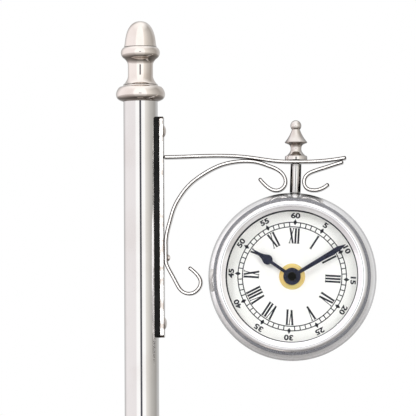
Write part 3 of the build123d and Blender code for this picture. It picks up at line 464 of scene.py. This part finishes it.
# Print on the dial: thin raised ink, in places and sizes of millimetres, turned a little clockwise
DIAL_TURN = math.radians(1.4)
DIAL_FACE = -dial_low.y
INK_T = 0.03 * MM
TRACK_OUT, TRACK_IN, TRACK_W = 32.3, 29.6, 0.6
# A dark ring of ink at the dial's edge: a painted shadow line where the card meets the ring round it
SHADOW_LINE_R, SHADOW_LINE_W = 39.35, 1.15
TICK_HALF = 0.3
DIAMOND_HALF, DIAMOND_IN, DIAMOND_OUT = 1.2, 1.75, 1.9
HOUR_IN, HOUR_OUT = 19.9, 28.7
THICK, THIN = 1.15, 0.48
SERIF_T, SERIF_OUT = 0.42, 0.3
HOURS = ("XII", "I", "II", "III", "IV", "V", "VI", "VII", "VIII", "IX", "X", "XI")

# Each letter: its width, its strokes as (foot, head, thickness), its serifs as (place, radius, thickness)
LETTERS = {
    "I": (1.72, [(0, 0, THICK)], [(0, HOUR_IN, 0.7 * THICK), (0, HOUR_OUT, 0.7 * THICK)]),
    "V": (
        3.15,
        [(0.1, -0.95, THICK), (0.1, 1.05, THIN)],
        [(-0.95, HOUR_OUT, 0.8 * THICK), (1.05, HOUR_OUT, THIN)],
    ),
    "X": (
        3.15,
        [(0.95, -0.95, THICK), (-1.05, 1.0, THIN)],
        [(-1.0, HOUR_IN, THIN), (1.0, HOUR_OUT, THIN), (0.95, HOUR_IN, THIN), (-0.95, HOUR_OUT, THIN)],
    ),
}


def on_dial(across, up, turn):
    """A place on the dial's face, turned clockwise round its middle."""
    c, s = math.cos(turn), math.sin(turn)
    x, z = across * c + up * s, up * c - across * s
    return HEAD + (HEAD_SIDE * x + HEAD_UP * z) * MM + FORWARD * DIAL_FACE


def rectangle(left, right, low, high):
    return [(left, low), (right, low), (right, high), (left, high)]


def ink_prism(bm, outline, turn):
    """A thin block of ink with this outline."""
    low, high = (
        [bm.verts.new(on_dial(x, y, turn) + FORWARD * INK_T * lift) for x, y in outline]
        for lift in (-1, 1)
    )
    bm.faces.new(list(reversed(low)))
    bm.faces.new(high)
    join_rings(bm, low, high)


def ink_ring(bm, radius, width, steps=240):
    """A thin ring of ink round the dial."""
    inside, outside = radius - width / 2, radius + width / 2
    rings = []
    for r, lift in ((inside, -1), (inside, 1), (outside, 1), (outside, -1)):
        ring = []
        for k in range(steps):
            angle = 2 * math.pi * k / steps
            place = on_dial(r * math.sin(angle), r * math.cos(angle), 0)
            ring.append(bm.verts.new(place + FORWARD * INK_T * lift))
        rings.append(ring)
    for first, second in zip(rings, rings[1:] + rings[:1]):
        join_rings(bm, first, second)


def minute_mark(bm, minute):
    """A short bar, or a small diamond at each fifth minute."""
    turn = DIAL_TURN + math.radians(6 * minute)
    if minute % 5:
        outline = rectangle(-TICK_HALF, TICK_HALF, TRACK_IN, TRACK_OUT)
    else:
        outline = [
            (0, TRACK_OUT - DIAMOND_IN),
            (DIAMOND_HALF, TRACK_OUT),
            (0, TRACK_OUT + DIAMOND_OUT),
            (-DIAMOND_HALF, TRACK_OUT),
        ]
    ink_prism(bm, outline, turn)


def numeral(bm, text, turn):
    """A Roman hour, feet inwards, of thick and thin strokes with small serifs."""
    left = -sum(LETTERS[letter][0] for letter in text) / 2
    for letter in text:
        width, strokes, serifs = LETTERS[letter]
        mid = left + width / 2
        for foot, head, thickness in strokes:
            half, x0, x1 = thickness / 2, mid + foot, mid + head
            inner = [(x0 - half, HOUR_IN), (x0 + half, HOUR_IN)]
            outer = [(x1 + half, HOUR_OUT), (x1 - half, HOUR_OUT)]
            ink_prism(bm, inner + outer, turn)
        for place, radius, thickness in serifs:
            x = mid + place
            x0, x1 = x - thickness / 2 - SERIF_OUT, x + thickness / 2 + SERIF_OUT
            ink_prism(bm, rectangle(x0, x1, radius - SERIF_T / 2, radius + SERIF_T / 2), turn)
        left += width


def dial_print():
    bm = bmesh.new()
    ink_ring(bm, TRACK_OUT, TRACK_W)
    ink_ring(bm, TRACK_IN, TRACK_W)
    # Painted shadow line at the dial's edge
    ink_ring(bm, SHADOW_LINE_R, SHADOW_LINE_W)
    for minute in range(60):
        minute_mark(bm, minute)
    for hour, text in enumerate(HOURS):
        numeral(bm, text, DIAL_TURN + math.radians(30 * hour))
    bmesh.ops.recalc_face_normals(bm, faces=bm.faces)
    mesh = bpy.data.meshes.new("dial_print")
    bm.to_mesh(mesh)
    bm.free()
    return mesh


make_piece("dial_print", dial_print(), "stand", INK)

# Minute figures, tops outwards; a digit's height is a share of its font's size
FIGURE_R, FIGURE_H, FIGURE_WIDER = 36.2, 3.1, 1.3
FIGURE_BOLDER = 0.18 * MM
DIGIT_SHARE = 0.73


def figure_mesh(minute, turn):
    curve = bpy.data.curves.new(f"figure_{minute}", "FONT")
    curve.body = str(minute)
    curve.size = FIGURE_H / DIGIT_SHARE * MM
    curve.extrude = INK_T
    curve.offset = FIGURE_BOLDER
    curve.align_x = "CENTER"
    curve.align_y = "CENTER"
    curve.resolution_u = 6
    text_object = bpy.data.objects.new(f"text_{minute}", curve)
    bpy.context.scene.collection.objects.link(text_object)
    mesh = bpy.data.meshes.new_from_object(text_object)
    bpy.data.objects.remove(text_object)
    mesh.materials.clear()
    side = HEAD_SIDE * math.cos(turn) - HEAD_UP * math.sin(turn)
    up = HEAD_SIDE * math.sin(turn) + HEAD_UP * math.cos(turn)
    turned = Matrix((side, up, FORWARD)).transposed().to_4x4()
    mesh.transform(Matrix.Diagonal((FIGURE_WIDER, 1, 1, 1)))
    mesh.transform(Matrix.Translation(on_dial(0, FIGURE_R, turn)) @ turned)
    return mesh


for minute in range(5, 65, 5):
    mesh = figure_mesh(minute, DIAL_TURN + math.radians(6 * minute))
    make_piece(f"dial_figure_{minute}", mesh, "stand", INK)


# Bracket strips, in millimetres, along the middle lines (x, z) of the frame's own sharp-edged strips
STRIP_T, STRIP_W, EASED = 2.1, 12, 0.95
RING_GAP = 0.5
FLAT_BY_CORNER = 0.12
LEAST_RADIUS = 0.03
FIT = 0.05
PLATE_X, STEM_X = 13.8, 92.9
ARM_Z, RIVET_Z = 394.7, 338
TIP_REACH = 30
BRACE_X = PLATE_X + 2 * FIT + STRIP_T / 2

# The brace touches the arm here
ARM_RUN = STEM_X - PLATE_X
TOUCH_X = PLATE_X + 0.646 * ARM_RUN
TOUCH_RISE = 2.75
TOUCH_Z = ARM_Z + TOUCH_RISE - STRIP_T - 3 * FIT

# Hook under the rivet: shares of its reach towards the case, and heights from the rivet
HOOK_REACH = 20.66
HOOK = [
    (0.6573, -6.0), (0.879, -9.9), (1.0, -14.8), (0.9134, -19.3), (0.705, -21.6), (0.469, -20.3),
    (0.304, -15.6), (0.15, -9.6), (0.048, -5.6),
]

# Flat of the brace on the plate, in heights from the rivet
FLAT_LOW, FLAT_HIGH, FLAT_STEPS = -2.6, 9.5, 5

# Arch under the arm: shares of its run and of its rise, from the rivet to the touch
ARCH = [
    (0.014, 0.262), (0.048, 0.376), (0.098, 0.516), (0.18, 0.647), (0.292, 0.764),
    (0.449, 0.867), (0.66, 0.96), (0.85, 0.996), (1.0, 1.0),
]

# Scrolls beside the stem: how far out from its flank, and shares of the drop from the arm
FLANK = 4.3
LOOP_DROP = 17.15
LEFT_SCROLL = [
    (12.9, 0.12), (6.6, 0.28), (2.6, 0.53), (2.2, 0.78), (5.0, 0.965), (7.8, 1.0), (12.4, 0.89), (17.7, 0.57),
]
RIGHT_SCROLL = [
    (12.5, 0.22), (6.5, 0.33), (1.8, 0.49), (0.4, 0.71), (1.7, 0.91), (6.0, 1.0), (11.5, 0.93), (15.1, 0.78),
]


def arm_line():
    root = [(0.2415, 3.7), (0.469, 3.8), (0.646, TOUCH_RISE), (0.8786, 0.25)]
    tip = [(0, 0), (0.3, 0), (0.667, 0.75), (1, 2.2)]
    line = [(PLATE_X + FIT, ARM_Z + 3.3)]
    line += [(PLATE_X + share * ARM_RUN, ARM_Z + rise) for share, rise in root]
    line += [(STEM_X + share * TIP_REACH, ARM_Z + rise) for share, rise in tip]
    return line


def beside_stem(side, places):
    return [(STEM_X + side * (FLANK + out), ARM_Z - share * LOOP_DROP) for out, share in places]


def brace_line():
    step = (FLAT_HIGH - FLAT_LOW) / FLAT_STEPS
    run, rise = TOUCH_X - BRACE_X, TOUCH_Z - RIVET_Z
    line = [(BRACE_X + out * HOOK_REACH, RIVET_Z + up) for out, up in HOOK]
    line += [(BRACE_X, RIVET_Z + FLAT_LOW + step * k) for k in range(FLAT_STEPS + 1)]
    line += [(BRACE_X + along * run, RIVET_Z + up * rise) for along, up in ARCH]
    line += [(TOUCH_X + 0.225 * (STEM_X - TOUCH_X), TOUCH_Z - 1)]
    return line + beside_stem(-1, LEFT_SCROLL)


def scroll_line():
    under = -STRIP_T - 3 * FIT
    line = [(STEM_X + share * TIP_REACH, ARM_Z + rise + under) for share, rise in ((0.943, 2), (0.8, 0.75))]
    return line + beside_stem(1, RIGHT_SCROLL)


def first_slope(places, at):
    """Slope, at its first place, of the cubic through four places."""
    slope = places[0] * sum(1 / (at[0] - at[k]) for k in (1, 2, 3))
    for k in (1, 2, 3):
        share = 1 / (at[k] - at[0])
        for other in {1, 2, 3} - {k}:
            share *= (at[0] - at[other]) / (at[k] - at[other])
        slope = slope + places[k] * share
    return slope


def smooth_line(points, step):
    """Places along a smooth line through these points, taken to hundredths, and the way it runs at each."""
    p = np.round(np.array(points, float), 2)
    gaps = np.linalg.norm(np.diff(p, axis=0), axis=1)
    t = np.concatenate([[0], np.cumsum(gaps)])
    count = len(p)
    system, right = np.zeros((count, count)), np.zeros((count, 2))
    system[0, 0] = system[-1, -1] = 1
    right[0] = first_slope(p[:4], t[:4])
    right[-1] = first_slope(p[::-1][:4], t[::-1][:4])
    for k in range(1, count - 1):
        before, after = 1 / gaps[k - 1], 1 / gaps[k]
        system[k, k - 1 : k + 2] = before, 2 * (before + after), after
        right[k] = 3 * ((p[k] - p[k - 1]) * before**2 + (p[k + 1] - p[k]) * after**2)
    slope = np.linalg.solve(system, right)
    where = np.linspace(0, t[-1], int(t[-1] / step) + 1)
    part = np.clip(np.searchsorted(t, where, side="right") - 1, 0, count - 2)
    u = ((where - t[part]) / gaps[part])[:, None]
    span = gaps[part][:, None]
    a, b, from_a, to_b = p[part], p[part + 1], slope[part] * span, slope[part + 1] * span
    place = (2 * u**3 - 3 * u**2 + 1) * a + (u**3 - 2 * u**2 + u) * from_a
    place = place + (3 * u**2 - 2 * u**3) * b + (u**3 - u**2) * to_b
    way = (6 * u**2 - 6 * u) * (a - b) + (3 * u**2 - 4 * u + 1) * from_a + (3 * u**2 - 2 * u) * to_b
    return place, way / np.linalg.norm(way, axis=1)[:, None]


def eased_section(half_t, half_w, radius, steps=4):
    """A rectangle with round corners, as places across the strip and along Y.

    A short flat on both sides of each corner keeps the shading of the flats even.
    """
    outline = []
    for side_t, side_w, first in ((1, 1, 0), (-1, 1, 90), (-1, -1, 180), (1, -1, 270)):
        middle_t, middle_w = side_t * (half_t - radius), side_w * (half_w - radius)
        for k in range(-1, steps + 2):
            turn = math.radians(first + 90 * min(max(k, 0), steps) / steps)
            flat = FLAT_BY_CORNER * (-1 if k < 0 else 1 if k > steps else 0)
            outline.append((
                middle_t + radius * math.cos(turn) - flat * math.sin(turn),
                middle_w + radius * math.sin(turn) + flat * math.cos(turn),
            ))
    return outline


def strip_mesh(name, points):
    """A strip along this line, a ring of vertices at a time, with round long edges and round ends."""
    place, way = smooth_line(points, RING_GAP)
    bm = bmesh.new()
    rings = []

    def add_ring(centre, along, inset):
        across = np.array([-along[1], along[0]])
        ring = []
        radius = max(EASED - inset, LEAST_RADIUS)
        for out, y in eased_section(STRIP_T / 2 - inset, STRIP_W / 2 - inset, radius):
            x, z = centre + across * out
            ring.append(bm.verts.new((x * MM, y * MM, z * MM)))
        rings.append(ring)

    end = []
    for angle in (90, 60, 30, 0):
        turn = math.radians(angle)
        end.append((EASED * (1 - math.sin(turn)), EASED * (1 - math.cos(turn))))
    for along, inset in end:
        add_ring(place[0] + way[0] * along, way[0], inset)
    for k in range(1, len(place) - 1):
        add_ring(place[k], way[k], 0)
    for along, inset in reversed(end):
        add_ring(place[-1] - way[-1] * along, way[-1], inset)
    for first, second in zip(rings, rings[1:]):
        join_rings(bm, first, second)
    bm.faces.new(rings[0])
    bm.faces.new(list(reversed(rings[-1])))
    bmesh.ops.recalc_face_normals(bm, faces=bm.faces)
    for face in bm.faces:
        face.smooth = True
    mesh = bpy.data.meshes.new(name)
    bm.to_mesh(mesh)
    bm.free()
    return mesh


for name, line, replaced in (
    ("arm_strip", arm_line(), "bracket_arm"),
    ("brace_strip", brace_line(), "bracket_brace"),
    ("scroll_strip", scroll_line(), "tip_scroll"),
):
    make_piece(name, strip_mesh(name, line), "stand", STRIP, [replaced])


# Floor: a large pale disc just under the felt
FLOOR_R = 4.0
FLOOR_DROP = 0.2 * MM


def add_floor():
    mesh = bpy.data.meshes.new("floor")
    bm = bmesh.new()
    bmesh.ops.create_circle(bm, cap_ends=True, radius=FLOOR_R, segments=96)
    bm.to_mesh(mesh)
    bm.free()
    paper = plastic("floor_paper", (0.82, 0.82, 0.815), (0.80, 0.80, 0.79), 0.6, (300, 20 * MICRON), 4)
    mesh.materials.append(paper)
    floor = bpy.data.objects.new("floor", mesh)
    floor.location.z = -FLOOR_DROP
    bpy.context.scene.collection.objects.link(floor)
    floor.visible_glossy = False


add_floor()


# Studio: what the metal mirrors, as bands of grey at angles in degrees


def grey(value, tint=(1, 1, 1)):
    """A screen grey from 0 to 255 as linear light, tinted."""
    linear = ((value / 255 + 0.055) / 1.055) ** 2.4
    return tuple(linear * t for t in tint)


def turn_share(degrees):
    """An angle round the axis, 0 in front and growing towards +X, as a share from 0 to 1."""
    return degrees / 360 + 0.5


def height_share(degrees):
    """An angle above the horizon, from -90 to 90, as a share from 0 to 1."""
    return degrees / 180 + 0.5


PINK = (1.025, 0.985, 0.995)
UMBER = (1.03, 1.0, 0.95)
COOL = (0.95, 0.97, 1.15)
ROUND = [
    (-180, grey(198)),
    (-145, grey(178)),
    (-137, grey(205, PINK)),
    (-112, grey(234, PINK)),
    (-36, grey(232, PINK)),
    (-27, grey(255)),
    (-8, grey(255)),
    (10, grey(255)),
    (29, grey(255)),
    (35, grey(226, UMBER)),
    (70, grey(186, UMBER)),
    (110, grey(158, UMBER)),
    (140, grey(190)),
    (180, grey(198)),
]
CEILING = grey(250)
CEILING_SHARE = [(-90, 0.0), (44, 0.0), (72, 1.0), (90, 1.0)]
BELOW = [
    (-90, grey(80, (1.08, 1.0, 0.92))),
    (-62, grey(140, (1.05, 1.0, 0.95))),
    (-35, grey(190, (1.03, 1.0, 0.97))),
    (-14, grey(214, (1.02, 1.0, 0.99))),
    (-9, grey(255)),
]
BELOW_STARTS, BELOW_FULL = -7, -16

# A narrow dark band in front, whose image is the dark upright line down the post
BAND_MIDDLE = 1.0
BAND_OUTER, BAND_INNER = 8.0, 4.5
BAND_TOP, BAND_TOP_FULL = 8, 6
BAND_FOOT, BAND_FOOT_FULL = -4, -2
BAND_COLOUR = grey(80, COOL)
MIRRORED_STRENGTH = 1.12


def add_studio():
    """White to the camera, and the bands above to everything else."""
    world = bpy.data.worlds.new("studio")
    bpy.context.scene.world = world
    world.use_nodes = True
    g = Graph(world.node_tree)
    x, y, z = g.parts(g.node("ShaderNodeTexCoord").outputs["Generated"])
    azimuth = g.add(g.math("DIVIDE", g.math("ARCTAN2", x, g.times(y, -1)), 2 * math.pi), 0.5)
    height = g.add(g.math("DIVIDE", g.math("ARCSINE", z), math.pi), 0.5)

    around = g.ramp(azimuth, [(turn_share(degrees), colour) for degrees, colour in ROUND])
    ceiling = g.ramp(height, [(height_share(degrees), share) for degrees, share in CEILING_SHARE])
    upper = g.mix(ceiling, around, CEILING)
    lower = g.ramp(height, [(height_share(degrees), colour) for degrees, colour in BELOW])
    lower = g.node("ShaderNodeVectorMath", {0: lower, 1: around}, operation="MULTIPLY").outputs[0]
    is_below = g.fit(height, height_share(BELOW_STARTS), height_share(BELOW_FULL))
    whole = g.mix(is_below, upper, lower)

    off_middle = g.math("ABSOLUTE", g.math("SUBTRACT", azimuth, turn_share(BAND_MIDDLE)))
    band = g.times(
        g.fit(off_middle, BAND_OUTER / 360, BAND_INNER / 360),
        g.times(
            g.fit(height, height_share(BAND_TOP), height_share(BAND_TOP_FULL)),
            g.fit(height, height_share(BAND_FOOT), height_share(BAND_FOOT_FULL)),
        ),
    )
    whole = g.mix(band, whole, BAND_COLOUR)

    mirrored = g.node("ShaderNodeBackground", {"Color": whole, "Strength": MIRRORED_STRENGTH})
    white = g.node("ShaderNodeBackground", {"Color": (1, 1, 1), "Strength": 1.0})
    to_camera = g.node("ShaderNodeLightPath").outputs["Is Camera Ray"]
    both = g.node("ShaderNodeMixShader", {0: to_camera, 1: mirrored, 2: white})
    g.node("ShaderNodeOutputWorld", {"Surface": both})


add_studio()


# Soft lamps, aimed at the clock, that show in no mirror
AIM = Vector((0.05, 0, 0.3))


def add_softbox(name, place, side, watts):
    light = bpy.data.lights.new(name, "AREA")
    light.shape = "RECTANGLE"
    light.size = side
    light.size_y = side
    light.energy = watts
    lamp = bpy.data.objects.new(name, light)
    lamp.location = place
    lamp.rotation_euler = (Vector(place) - AIM).to_track_quat("Z", "Y").to_euler()
    lamp.visible_camera = False
    lamp.visible_glossy = False
    bpy.context.scene.collection.objects.link(lamp)


add_softbox("key", (-1.1, -1.5, 1.6), 0.9, 56)
add_softbox("fill", (1.5, -1.6, 0.9), 1.2, 25)
add_softbox("rear", (0.2, 1.8, 1.4), 1.2, 12)
